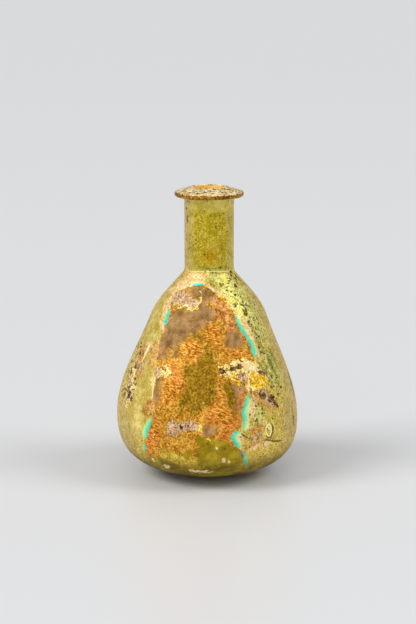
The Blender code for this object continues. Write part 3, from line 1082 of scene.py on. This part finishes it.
@dataclass(frozen=True)
class WeatheredGlass:
    """Free-blown soda-lime glass under weathering film, as one node material.

    Soda-lime glass bends light by 1.52. The film is made of layers far thinner than a hair, which
    mirror light in gold and give a silky sheen in place of a clean gloss.
    """

    film: str = "b09038 dcb454 f8d880"
    film_cool: str = "a49430 ccb444 ecd870"
    film_roughness: float = 0.30
    film_clear: float = 0.08
    film_depth: float = 0.045
    film_leaf: float = 0.3
    film_rise: float = 0.1
    glass_ior: float = 1.52
    glass_shine: float = 0.3
    sheen_tint: str = "f4cf6a"
    clouds: Noise = Noise(7.0, 5.0, 0.6)
    mottle: Noise = Noise(2.2, 4.0, 0.75)
    grain: Noise = Noise(0.62, 1.0, 0.6)
    creases: Noise = Noise(0.44, 3.0, 0.7)
    crease_length: float = 1.3
    crease_turn: float = math.radians(-14.0)
    # How much of a second, finer pattern shows in each
    cloudy_mottle: float = 0.4
    mottled_grain: float = 0.5
    creased_mottle: float = 0.22
    grainy_mottle: float = 0.5
    # Crisp edges wander with the finer noise, and those that fade by more than this with the coarser
    edge: Noise = Noise(1.4, 2.0, 0.6)
    drift: Noise = Noise(4.2, 5.0, 0.75)
    soft_from: float = 0.3
    edge_wander: float = 0.3
    fringe_start: float = 0.75
    fringe_reach: float = 3.2
    fringe_wander: float = 0.45
    tone_low: float = 0.08
    tone_high: float = 0.92
    # A speck's size and unevenness, and where its edge fades, as shares of its radius
    speck_least: float = 0.4
    speck_spread: float = 0.7
    speck_uneven: float = 0.7
    speck_edge: tuple[float, float] = (0.25, 0.45)
    # How deep in their zone the specks are as many as they get
    speck_full: float = 1.0
    specks: tuple[Specks, ...] = (
        # Pits too fine to show are drawn about half a millimetre across
        Specks(1.1, 0.36, "54440c", Zone.SPECKS, 0.60, 3.0, 0.75, -0.05),
        Specks(1.7, 0.80, "4c4408", Zone.SPECKS, 0.55, 0.5, 0.95, -0.08),
        Specks(1.2, 0.62, "443c08", Zone.SPECKS, 0.28, 0.2, 0.95, -0.08),
        # Pale and golden specks are painted glints, each on a grain that stands a little proud
        Specks(1.2, 0.34, "fff0b4", Zone.SPECKS, 0.75, 3.5, 0.4, 0.03),
        Specks(1.4, 0.38, "ffd070", Zone.AMBER, 0.12, 0.5, 0.6, 0.04),
        Specks(1.5, 0.38, "5c380c", Zone.AMBER, 0.22, 0.5, 0.7, -0.05),
    )
    finishes: tuple[Finish, ...] = (
        # The neck is thin film over clear olive glass, brightest where the wall is thin
        Finish(Zone.NECK, "a4943c bcac4c d0c068", Pattern.CLOUDY, 0.95, ragged=0.6, soft=1.2, clear=0.12,
               roughness=0.28, depth=0.02, rise=0.1),
        # The neck's saturated middle is olive glass, brightened as painted light that comes through it and
        # lifts the shade under the rim
        Finish(Zone.LUSTRE, "9c8804 b8a014 dcc450", Pattern.MOTTLED, 0.9, ragged=1.2, soft=1.8, clear=0.12,
               roughness=0.3, rise=0.1),
        Finish(Zone.STAIN, "a87408 bc8410 cc9420", Pattern.MOTTLED, 0.7, ragged=1.4, soft=1.6, clear=0.12,
               roughness=0.3, rise=0.1),
        # Painted light: under the rim the top of the neck is given paler tones, for light that comes
        # through the glass
        Finish(Zone.HAZE, "ccb84c e8d468 f8e88c", Pattern.CLOUDY, 0.85, ragged=1.0, soft=1.6, clear=0.05,
               roughness=0.3, depth=0.02, rise=0.1),
        # Freshly bared green glass shows under the thin film; its pale tones on the right shoulder are a
        # painted sheen
        Finish(Zone.GREEN, "a4a034 ccc860 f4f0a8", Pattern.MOTTLED, 0.85, ragged=1.6, soft=2.2, clear=0.08,
               roughness=0.3, rise=0.1, leaf=0.2),
        # Older film is duller and greyer low on both flanks. Its tones are also painted shade low on the
        # right, and a painted grey sheen along the right edge and down the neck's left side
        Finish(Zone.GREY, "988440 b8a05c d4bc7c", Pattern.MOTTLED, 0.8, ragged=1.2, soft=2.5, rise=0.1,
               leaf=0.2),
        # Thicker film on the left flank is warm gold
        Finish(Zone.GOLD, "b49c44 d4bc60 f8e494", Pattern.CLOUDY, 0.65, ragged=1.2, soft=2.5, clear=0.0,
               rise=0.1, leaf=0.3),
        # Film about to lift is cream with a pink cast
        Finish(Zone.BLUSH, "d4a45c ecc888 fce4b8", Pattern.MOTTLED, 0.9, ragged=1.0, soft=0.6, clear=0.0,
               rise=0.13),
        # Along its broken edge the film shows the colours of thinner and thinner layers
        Finish(Zone.CYAN, "5c8ccc 34c8cc 48dcb0 80e49c a4e898 ccec9c f0f0b4 fff0cc", Pattern.BANDED,
               grow=0.45, ragged=0.3, soft=0.28, roughness=0.3, rise=0.08),
        # Where the film is gone the glass shows amber, with a gold grain
        Finish(Zone.AMBER, "945c08 c48a28 f0b850", Pattern.MOTTLED, ragged=edge_wander, soft=0.1,
               depth=0.03),
        Finish(Zone.OLIVE, "5c4404 846408 b0841c", Pattern.MOTTLED, 0.85, True, ragged=2.4, soft=1.7,
               clear=0.1),
        Finish(Zone.MAUVE, "6c5024 8c6840 a47c54 b88e66", Pattern.CLOUDY, 0.9, True, ragged=1.6, soft=0.9,
               roughness=0.5, depth=0.02, leaf=0.0, rise=0.03),
        # Orange film lies in short crinkles: orange in its own colour, with its palest tones along the
        # crinkles painted glints
        Finish(Zone.ORANGE, "743804 b4640c e49028 ffcc6c", Pattern.CREASED, 0.9, True, ragged=2.0, soft=1.1,
               depth=0.05),
        Finish(Zone.EMBER, "94480c cc6c20 ec8c3c fcb070", Pattern.CREASED, 0.45, True, ragged=1.4, soft=0.9,
               depth=0.05),
        Finish(Zone.LEMON, "a88c24 d4bc40 f0dc70", Pattern.MOTTLED, 0.85, ragged=1.2, soft=0.8),
        # Clean glass at the foot of the bared field
        Finish(Zone.CLEAR, "8c7410 ac9018 c8ac34", Pattern.CLOUDY, 1.0, True, ragged=0.5, soft=0.2,
               clear=0.22, roughness=0.22, depth=0.01, leaf=0.0, rise=-0.05),
        # The thick base glass is dark olive, darkened further towards the bottom as painted shade under the
        # belly
        Finish(Zone.FOOT, "584400 786400 988404", Pattern.CLOUDY, 0.85, ragged=0.5, soft=3.5, clear=0.1,
               roughness=0.6, leaf=0.0),
        Finish(Zone.ROSE, "844c10 b86c28 d8944c f0bc80", Pattern.GRAINY, 0.8, ragged=1.8, soft=1.0,
               depth=0.06, rise=0.06),
        # Crusts break off with a cream and yellow edge, and are grey with a lilac cast on top
        Finish(Zone.PALE, "5c3c10 e0b048 f8dc88 fff0b8", Pattern.GRAINY, ragged=0.6, clear=0.0, depth=0.12,
               rise=0.22),
        Finish(Zone.YELLOW, "b47018 e8ac20 fcd434 fff494", Pattern.GRAINY, ragged=0.7, clear=0.0,
               depth=0.08, rise=0.22),
        # Flakes of thicker film still lie on the bared glass
        Finish(Zone.FLAKE, "74542c b89068 cca480 e8c8a4", Pattern.MOTTLED, 0.95, ragged=0.5, clear=0.0,
               roughness=0.5, depth=0.08, leaf=0.05, rise=0.26),
        Finish(Zone.CRUST, "482c14 987454 d4b090 e8ccb0", Pattern.GRAINY, 0.95, ragged=0.6, soft=0.1,
               clear=0.0, roughness=0.7, depth=0.14, leaf=0.0, rise=0.36),
        Finish(Zone.DARK, "281404 4c3014 987048", Pattern.GRAINY, ragged=0.5, soft=0.1, clear=0.0,
               roughness=0.7, depth=0.12, leaf=0.0, rise=0.05),
        Finish(Zone.CREAM, "d8b868 ecd494 fcecb8", Pattern.GRAINY, 0.95, ragged=0.4, clear=0.0, rise=0.1),
        Finish(Zone.STREAKS, "54500c 747014 908c28", Pattern.CLOUDY, 0.8, ragged=0.6, soft=0.5, rise=0.06),
        # Pale lines: a painted highlight along the neck's joint, and pale lips and the outline of a ring
        # scar
        Finish(Zone.GLINT, "f0e890 f8f0a8 fff8c4", Pattern.CLOUDY, 0.95, ragged=0.06, soft=0.1, rise=0.12),
        Finish(Zone.SCAR, "342808 4c3c10 645020", Pattern.MOTTLED, 0.85, ragged=0.1, soft=0.1, rise=0.0),
        Finish(Zone.RIM_TOP, "4c3410 c8a468 e8cc90 fff0c8", Pattern.GRAINY, ragged=0.4, soft=0.3,
               depth=0.12),
        # The rim's down-facing edge is brown, darkened as painted shade under the rim
        Finish(Zone.RIM_EDGE, "4c3000 8c6010 c89434", Pattern.GRAINY, ragged=0.4, soft=0.3, depth=0.08),
        # Inside is bright orange: a painted glow of light coming in through the glass
        Finish(Zone.INSIDE, "f4b830 ffcc4c ffe084", Pattern.CLOUDY, ragged=0.2, soft=0.2, clear=0.0,
               leaf=0.0),
    )

    def build(self) -> bpy.types.Material:
        """Build the material.

        Returns:
            The weathered glass.
        """
        material = bpy.data.materials.new("weathered blown soda-lime glass")
        material.use_nodes = True
        nodes = GlassNodes(self, material.node_tree)
        mottled = nodes.patterns[Pattern.MOTTLED]
        warm = nodes.tones(self.film, mottled)
        cool = nodes.tones(self.film_cool, mottled)
        colour = nodes.add("Mix", {0: nodes.drift, 6: warm, 7: cool}, 2, data_type="RGBA")
        values: dict[str, Socket] = {}
        for name in ("roughness", "clear", "depth", "rise", "leaf"):
            values[name] = nodes.add("Value")
            values[name].default_value = getattr(self, f"film_{name}")
        for finish in self.finishes:
            mask = nodes.mask(finish)
            if finish.zone is Zone.AMBER:
                bared = mask
            if finish.within:
                mask = nodes.add("Math", {0: mask, 1: bared}, operation="MULTIPLY")
            tones = nodes.tones(finish.tones, nodes.patterns[finish.pattern])
            colour = nodes.add("Mix", {0: mask, 6: colour, 7: tones}, 2, data_type="RGBA")
            for name, value in values.items():
                blended = {0: mask, 2: value, 3: getattr(finish, name)}
                values[name] = nodes.add("Mix", blended, data_type="FLOAT")
        grain = {0: mottled, 1: values["depth"], 2: values["rise"]}
        height = nodes.add("Math", grain, operation="MULTIPLY_ADD")
        for specks in self.specks:
            shown = nodes.scatter(specks)
            tone = linear_colour(specks.tone)
            colour = nodes.add("Mix", {0: shown, 6: colour, 7: tone}, 2, data_type="RGBA")
            height = nodes.add("Math", {0: shown, 1: specks.sunk, 2: height}, operation="MULTIPLY_ADD")
        in_metres = nodes.add("Math", {0: height, 1: MM}, operation="MULTIPLY")
        bump = nodes.add("Bump", {"Height": in_metres, "Strength": 1.0, "Distance": 1.0})
        shader = nodes.tree.nodes["Principled BSDF"].inputs
        for name, socket in (
            ("Base Color", colour),
            ("Roughness", values["roughness"]),
            ("Transmission Weight", values["clear"]),
            ("Metallic", values["leaf"]),
            ("Normal", bump),
        ):
            nodes.tree.links.new(socket, shader[name])
        shader["IOR"].default_value = self.glass_ior
        shader["Specular IOR Level"].default_value = self.glass_shine
        shader["Specular Tint"].default_value = linear_colour(self.sheen_tint)
        return material


class GlassNodes:
    """The nodes of the weathered glass: what its finishes share, and what each of them is made with."""

    # Noise keeps mostly to its middle, so this stretch of it is spread over the whole range
    noise_span: tuple[float, float] = (0.32, 0.68)
    blend_span: tuple[float, float] = (0.18, 0.82)

    def __init__(self, glass: WeatheredGlass, tree: bpy.types.NodeTree) -> None:
        """Make the shared patterns, each a value from 0 to 1.

        Args:
            glass: The sizes and tones.
            tree: The material's node tree.
        """
        self.glass = glass
        self.tree = tree
        self.place = self.add("TexCoord", out="Object")
        turned = self.add("Mapping", {"Vector": self.place, "Rotation": (0.0, glass.crease_turn, 0.0)})
        long_way = glass.creases.size / glass.crease_length
        stretched = self.add("Mapping", {"Vector": turned, "Scale": (long_way, long_way, 1.0)})
        cell_scale = 1.0 / (glass.grain.size * MM)
        cells = self.add("TexVoronoi", {"Vector": self.place, "Scale": cell_scale}, "Color")
        cell_value = self.add("SeparateColor", {0: cells})
        clouds = self.noise_field(self.place, glass.clouds)
        mottle = self.noise_field(self.place, glass.mottle)
        grain = self.noise_field(self.place, glass.grain)
        creases = self.noise_field(stretched, glass.creases)
        self.edge = self.noise_field(self.place, glass.edge)
        self.drift = self.noise_field(self.place, glass.drift)
        self.patterns = {
            Pattern.CLOUDY: self.blend(clouds, mottle, glass.cloudy_mottle),
            Pattern.MOTTLED: self.blend(mottle, grain, glass.mottled_grain),
            Pattern.CREASED: self.blend(creases, mottle, glass.creased_mottle),
            Pattern.GRAINY: self.blend(cell_value, mottle, glass.grainy_mottle),
            Pattern.BANDED: self.bands(),
        }

    def add(
        self,
        kind: str,
        inputs: dict[int | str, object] | None = None,
        out: int | str = 0,
        **settings: object,
    ) -> Socket:
        """Add a node with its settings, its values and the links into it.

        Args:
            kind: The node's type name, after ShaderNode.
            inputs: What goes into each input: a value, or the socket that is linked to it.
            out: Which of its outputs is wanted.
            settings: The node's own properties.

        Returns:
            That output.
        """
        node = self.tree.nodes.new("ShaderNode" + kind)
        for name, value in settings.items():
            setattr(node, name, value)
        for name, value in (inputs or {}).items():
            if isinstance(value, Socket):
                self.tree.links.new(value, node.inputs[name])
            else:
                node.inputs[name].default_value = value
        return node.outputs[out]

    def noise_field(self, place: Socket, kind: Noise) -> Socket:
        """Make noise that uses the whole range from 0 to 1.

        Args:
            place: Where on the flask, in metres.
            kind: The noise's size and layers.

        Returns:
            The noise's value.
        """
        scale = 1.0 / (kind.size * MM)
        grades = {"Vector": place, "Scale": scale, "Detail": kind.layers, "Roughness": kind.rough}
        value = self.add("TexNoise", grades)
        low, high = self.noise_span
        return self.add("MapRange", {"Value": value, "From Min": low, "From Max": high})

    def blend(self, first: Socket, second: Socket, share: float) -> Socket:
        """Mix two patterns and bring the mix back to the whole range.

        Args:
            first: The main pattern.
            second: The one that is mixed in.
            share: How much of it shows.

        Returns:
            The mixed pattern.
        """
        mixed = self.add("Mix", {0: share, 2: first, 3: second}, data_type="FLOAT")
        low, high = self.blend_span
        return self.add("MapRange", {"Value": mixed, "From Min": low, "From Max": high})

    def depth(self, name: str) -> Socket:
        """Read one of the mesh's own attributes."""
        return self.add("Attribute", out="Fac", attribute_name=name)

    def wandered(self, depth: Socket, ragged: float, edge: Socket) -> Socket:
        """Let a zone's edge wander either way.

        Args:
            depth: The zone's depth as drawn.
            ragged: How far the edge wanders.
            edge: The noise that it wanders with.

        Returns:
            The depth that shows.
        """
        middled = self.add("Math", {0: edge, 1: 0.5}, operation="SUBTRACT")
        return self.add("Math", {0: middled, 1: 2.0 * ragged, 2: depth}, operation="MULTIPLY_ADD")

    def bands(self) -> Socket:
        """Count how far out a point lies from the film's broken edge.

        Returns:
            0 at the edge and inside it, 1 where the fringe ends.
        """
        glass = self.glass
        shown = self.wandered(self.depth(Zone.AMBER.value), glass.edge_wander, self.edge)
        varied = self.wandered(shown, glass.fringe_wander, self.drift)
        ends = {"From Min": glass.fringe_start, "From Max": -glass.fringe_reach}
        return self.add("MapRange", {"Value": varied, **ends})

    def mask(self, finish: Finish) -> Socket:
        """Turn a zone's depth into how much of the finish shows.

        Args:
            finish: The finish.

        Returns:
            A value from 0 to the finish's strength.
        """
        depth = self.depth(finish.zone.value)
        if finish.zone in LINES:
            away = self.add("Math", {0: self.depth(across_name(finish.zone))}, operation="ABSOLUTE")
            depth = self.add("Math", {0: depth, 1: away}, operation="SUBTRACT")
        edge = self.drift if finish.soft > self.glass.soft_from else self.edge
        span = {
            "Value": self.wandered(depth, finish.ragged, edge),
            "From Min": -finish.grow - finish.soft,
            "From Max": -finish.grow + finish.soft,
            "To Max": finish.strength,
        }
        return self.add("MapRange", span, interpolation_type="SMOOTHSTEP")

    def tones(self, codes: str, pattern: Socket) -> Socket:
        """Spread tones over a pattern.

        Args:
            codes: The tones as sRGB hex, from the pattern's low to its high.
            pattern: The pattern.

        Returns:
            The colour.
        """
        colours = [linear_colour(code) for code in codes.split()]
        places = np.linspace(self.glass.tone_low, self.glass.tone_high, len(colours))
        spread = self.add("ValToRGB", {"Fac": pattern})
        stops = spread.node.color_ramp.elements
        stops.remove(stops[1])
        stops[0].position = float(places[0])
        stops[0].color = colours[0]
        for place, colour in zip(places[1:], colours[1:]):
            stops.new(float(place)).color = colour
        return spread

    def scatter(self, specks: Specks) -> Socket:
        """Scatter one family of specks.

        Args:
            specks: The family.

        Returns:
            The specks' strength inside them, and 0 outside.
        """
        glass = self.glass
        distance = self.add("TexVoronoi", {"Vector": self.place, "Scale": 1.0 / (specks.spacing * MM)})
        chance = self.add("SeparateColor", {0: distance.node.outputs["Color"]})
        near = {"Value": self.depth(specks.zone.value), "From Min": -specks.spread}
        share = self.add("MapRange", {**near, "From Max": glass.speck_full, "To Max": specks.share})
        has_one = self.add("Math", {0: chance, 1: share}, operation="LESS_THAN")
        cells = specks.radius / specks.spacing
        sizes = {0: chance.node.outputs[1], 1: glass.speck_spread * cells, 2: glass.speck_least * cells}
        size = self.add("Math", sizes, operation="MULTIPLY_ADD")
        bumps = {0: self.edge, 1: glass.speck_uneven * cells, 2: size}
        uneven = self.add("Math", bumps, operation="MULTIPLY_ADD")
        inside = self.add("Math", {0: uneven, 1: distance}, operation="SUBTRACT")
        low, high = glass.speck_edge
        fade = {"Value": inside, "From Min": low * cells, "From Max": high * cells}
        shown = self.add("MapRange", {**fade, "To Max": specks.strength})
        return self.add("Math", {0: shown, 1: has_one}, operation="MULTIPLY")


@dataclass
class Unguentarium:
    """The flask: its form, its weathered skin and its glass."""

    form: FlaskForm
    camera: PhotoCamera

    def build(self) -> bpy.types.Object:
        """Build the flask as one piece that stands for the solid.

        Returns:
            The flask.
        """
        mesh, skin_layer = self.form.turned()
        data = bpy.data.meshes.new("weathered_flask")
        mesh.verts.ensure_lookup_table()
        skin = np.array([vertex[skin_layer] for vertex in mesh.verts])
        mesh.to_mesh(data)
        mesh.free()
        turned = self.read(data, "vertices", "co")
        true = self.form.blown(turned)
        self.write_points(data, true * MM)
        normals = self.read(data, "vertex_normals", "vector")
        weathered = WeatheredSkin(self.camera, self.form, true, normals, skin > 0.5)
        weathered.lay()
        self.write_points(data, weathered.raised() * MM)
        layers = {zone.value: depth for zone, depth in weathered.depths.items()}
        layers |= {across_name(zone): side for zone, side in weathered.across.items()}
        for name, values in layers.items():
            attribute = data.attributes.new(name, "FLOAT", "POINT")
            attribute.data.foreach_set("value", values.astype(np.float32))
        data.shade_smooth()
        flask = bpy.data.objects.new("weathered_flask", data)
        bpy.context.scene.collection.objects.link(flask)
        return flask

    @staticmethod
    def read(data: bpy.types.Mesh, layer: str, name: str) -> Array:
        """Read one vector a vertex from a mesh."""
        values = np.empty(len(data.vertices) * 3, np.float32)
        getattr(data, layer).foreach_get(name, values)
        return values.reshape(-1, 3).astype(float)

    @staticmethod
    def write_points(data: bpy.types.Mesh, points: Array) -> None:
        """Move a mesh's vertices."""
        data.vertices.foreach_set("co", points.astype(np.float32).ravel())
        data.update()

    def dress(self, flask: bpy.types.Object, glass: WeatheredGlass) -> None:
        """Give the flask its glass and say what it stands for."""
        flask.data.materials.append(glass.build())
        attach(flask, BODY)
        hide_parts(NODE)


@dataclass(frozen=True)
class SoftLight:
    """A large soft light far away: where it stands, how strong it is and how wide it looks."""

    azimuth: float
    elevation: float
    strength: float
    width: float


@dataclass(frozen=True)
class Studio:
    """A pale floor, an even surround, and soft light from both sides and from the viewer's side."""

    floor_reach: float = 30.0
    floor_colour: str = "d8d8d8"
    floor_roughness: float = 0.35
    floor_shine: float = 0.5
    surround: str = "eceef2"
    surround_strength: float = 0.55
    # Azimuth counts from straight behind the viewer, towards the right
    lights: tuple[SoftLight, ...] = (
        SoftLight(-66.0, 44.0, 1.75, 30.0),
        SoftLight(76.0, 44.0, 1.10, 30.0),
        SoftLight(-8.0, 28.0, 0.60, 50.0),
    )

    def build(self) -> None:
        """Lay the floor and hang the lights."""
        mesh = bmesh.new()
        bmesh.ops.create_grid(mesh, x_segments=1, y_segments=1, size=self.floor_reach)
        data = bpy.data.meshes.new("studio_floor")
        mesh.to_mesh(data)
        mesh.free()
        floor = bpy.data.objects.new("studio_floor", data)
        bpy.context.scene.collection.objects.link(floor)
        data.materials.append(self.floor_material())
        for number, light in enumerate(self.lights):
            self.hang(f"soft_light_{number}", light)
        world = bpy.data.worlds.new("studio_surround")
        world.use_nodes = True
        shade = world.node_tree.nodes["Background"]
        shade.inputs["Color"].default_value = linear_colour(self.surround)
        shade.inputs["Strength"].default_value = self.surround_strength
        bpy.context.scene.world = world
        settings = bpy.context.scene.view_settings
        settings.view_transform = "Standard"
        settings.look = "None"

    def floor_material(self) -> bpy.types.Material:
        """Pale satin board, which holds a faint blurred reflection of the flask."""
        material = bpy.data.materials.new("pale satin studio board")
        material.use_nodes = True
        shader = material.node_tree.nodes["Principled BSDF"]
        shader.inputs["Base Color"].default_value = linear_colour(self.floor_colour)
        shader.inputs["Roughness"].default_value = self.floor_roughness
        shader.inputs["Specular IOR Level"].default_value = self.floor_shine
        return material

    def hang(self, name: str, light: SoftLight) -> None:
        """Hang one light so that it shines on the flask from its place.

        Args:
            name: The light's name.
            light: Where it stands and how strong it is.
        """
        around = math.radians(light.azimuth)
        up = math.radians(light.elevation)
        stand = Vector((math.sin(around) * math.cos(up), -math.cos(around) * math.cos(up), math.sin(up)))
        data = bpy.data.lights.new(name, "SUN")
        data.energy = light.strength
        data.angle = math.radians(light.width)
        lamp = bpy.data.objects.new(name, data)
        lamp.location = stand
        lamp.rotation_euler = (-stand).to_track_quat("-Z", "Y").to_euler()
        bpy.context.scene.collection.objects.link(lamp)


def main() -> None:
    """Build the flask, dress it, and set it in the studio."""
    logging.basicConfig(level=logging.INFO)
    low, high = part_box(NODE)
    form = FlaskForm(total_height=(high.z - low.z) / MM, belly_radius=(high.x - low.x) / 2 / MM)
    camera = PhotoCamera()
    maker = Unguentarium(form, camera)
    flask = maker.build()
    maker.dress(flask, WeatheredGlass())
    LOG.info("flask: %d faces", len(flask.data.polygons))
    Studio().build()
    camera.place()


if __name__ == "__main__":
    main()
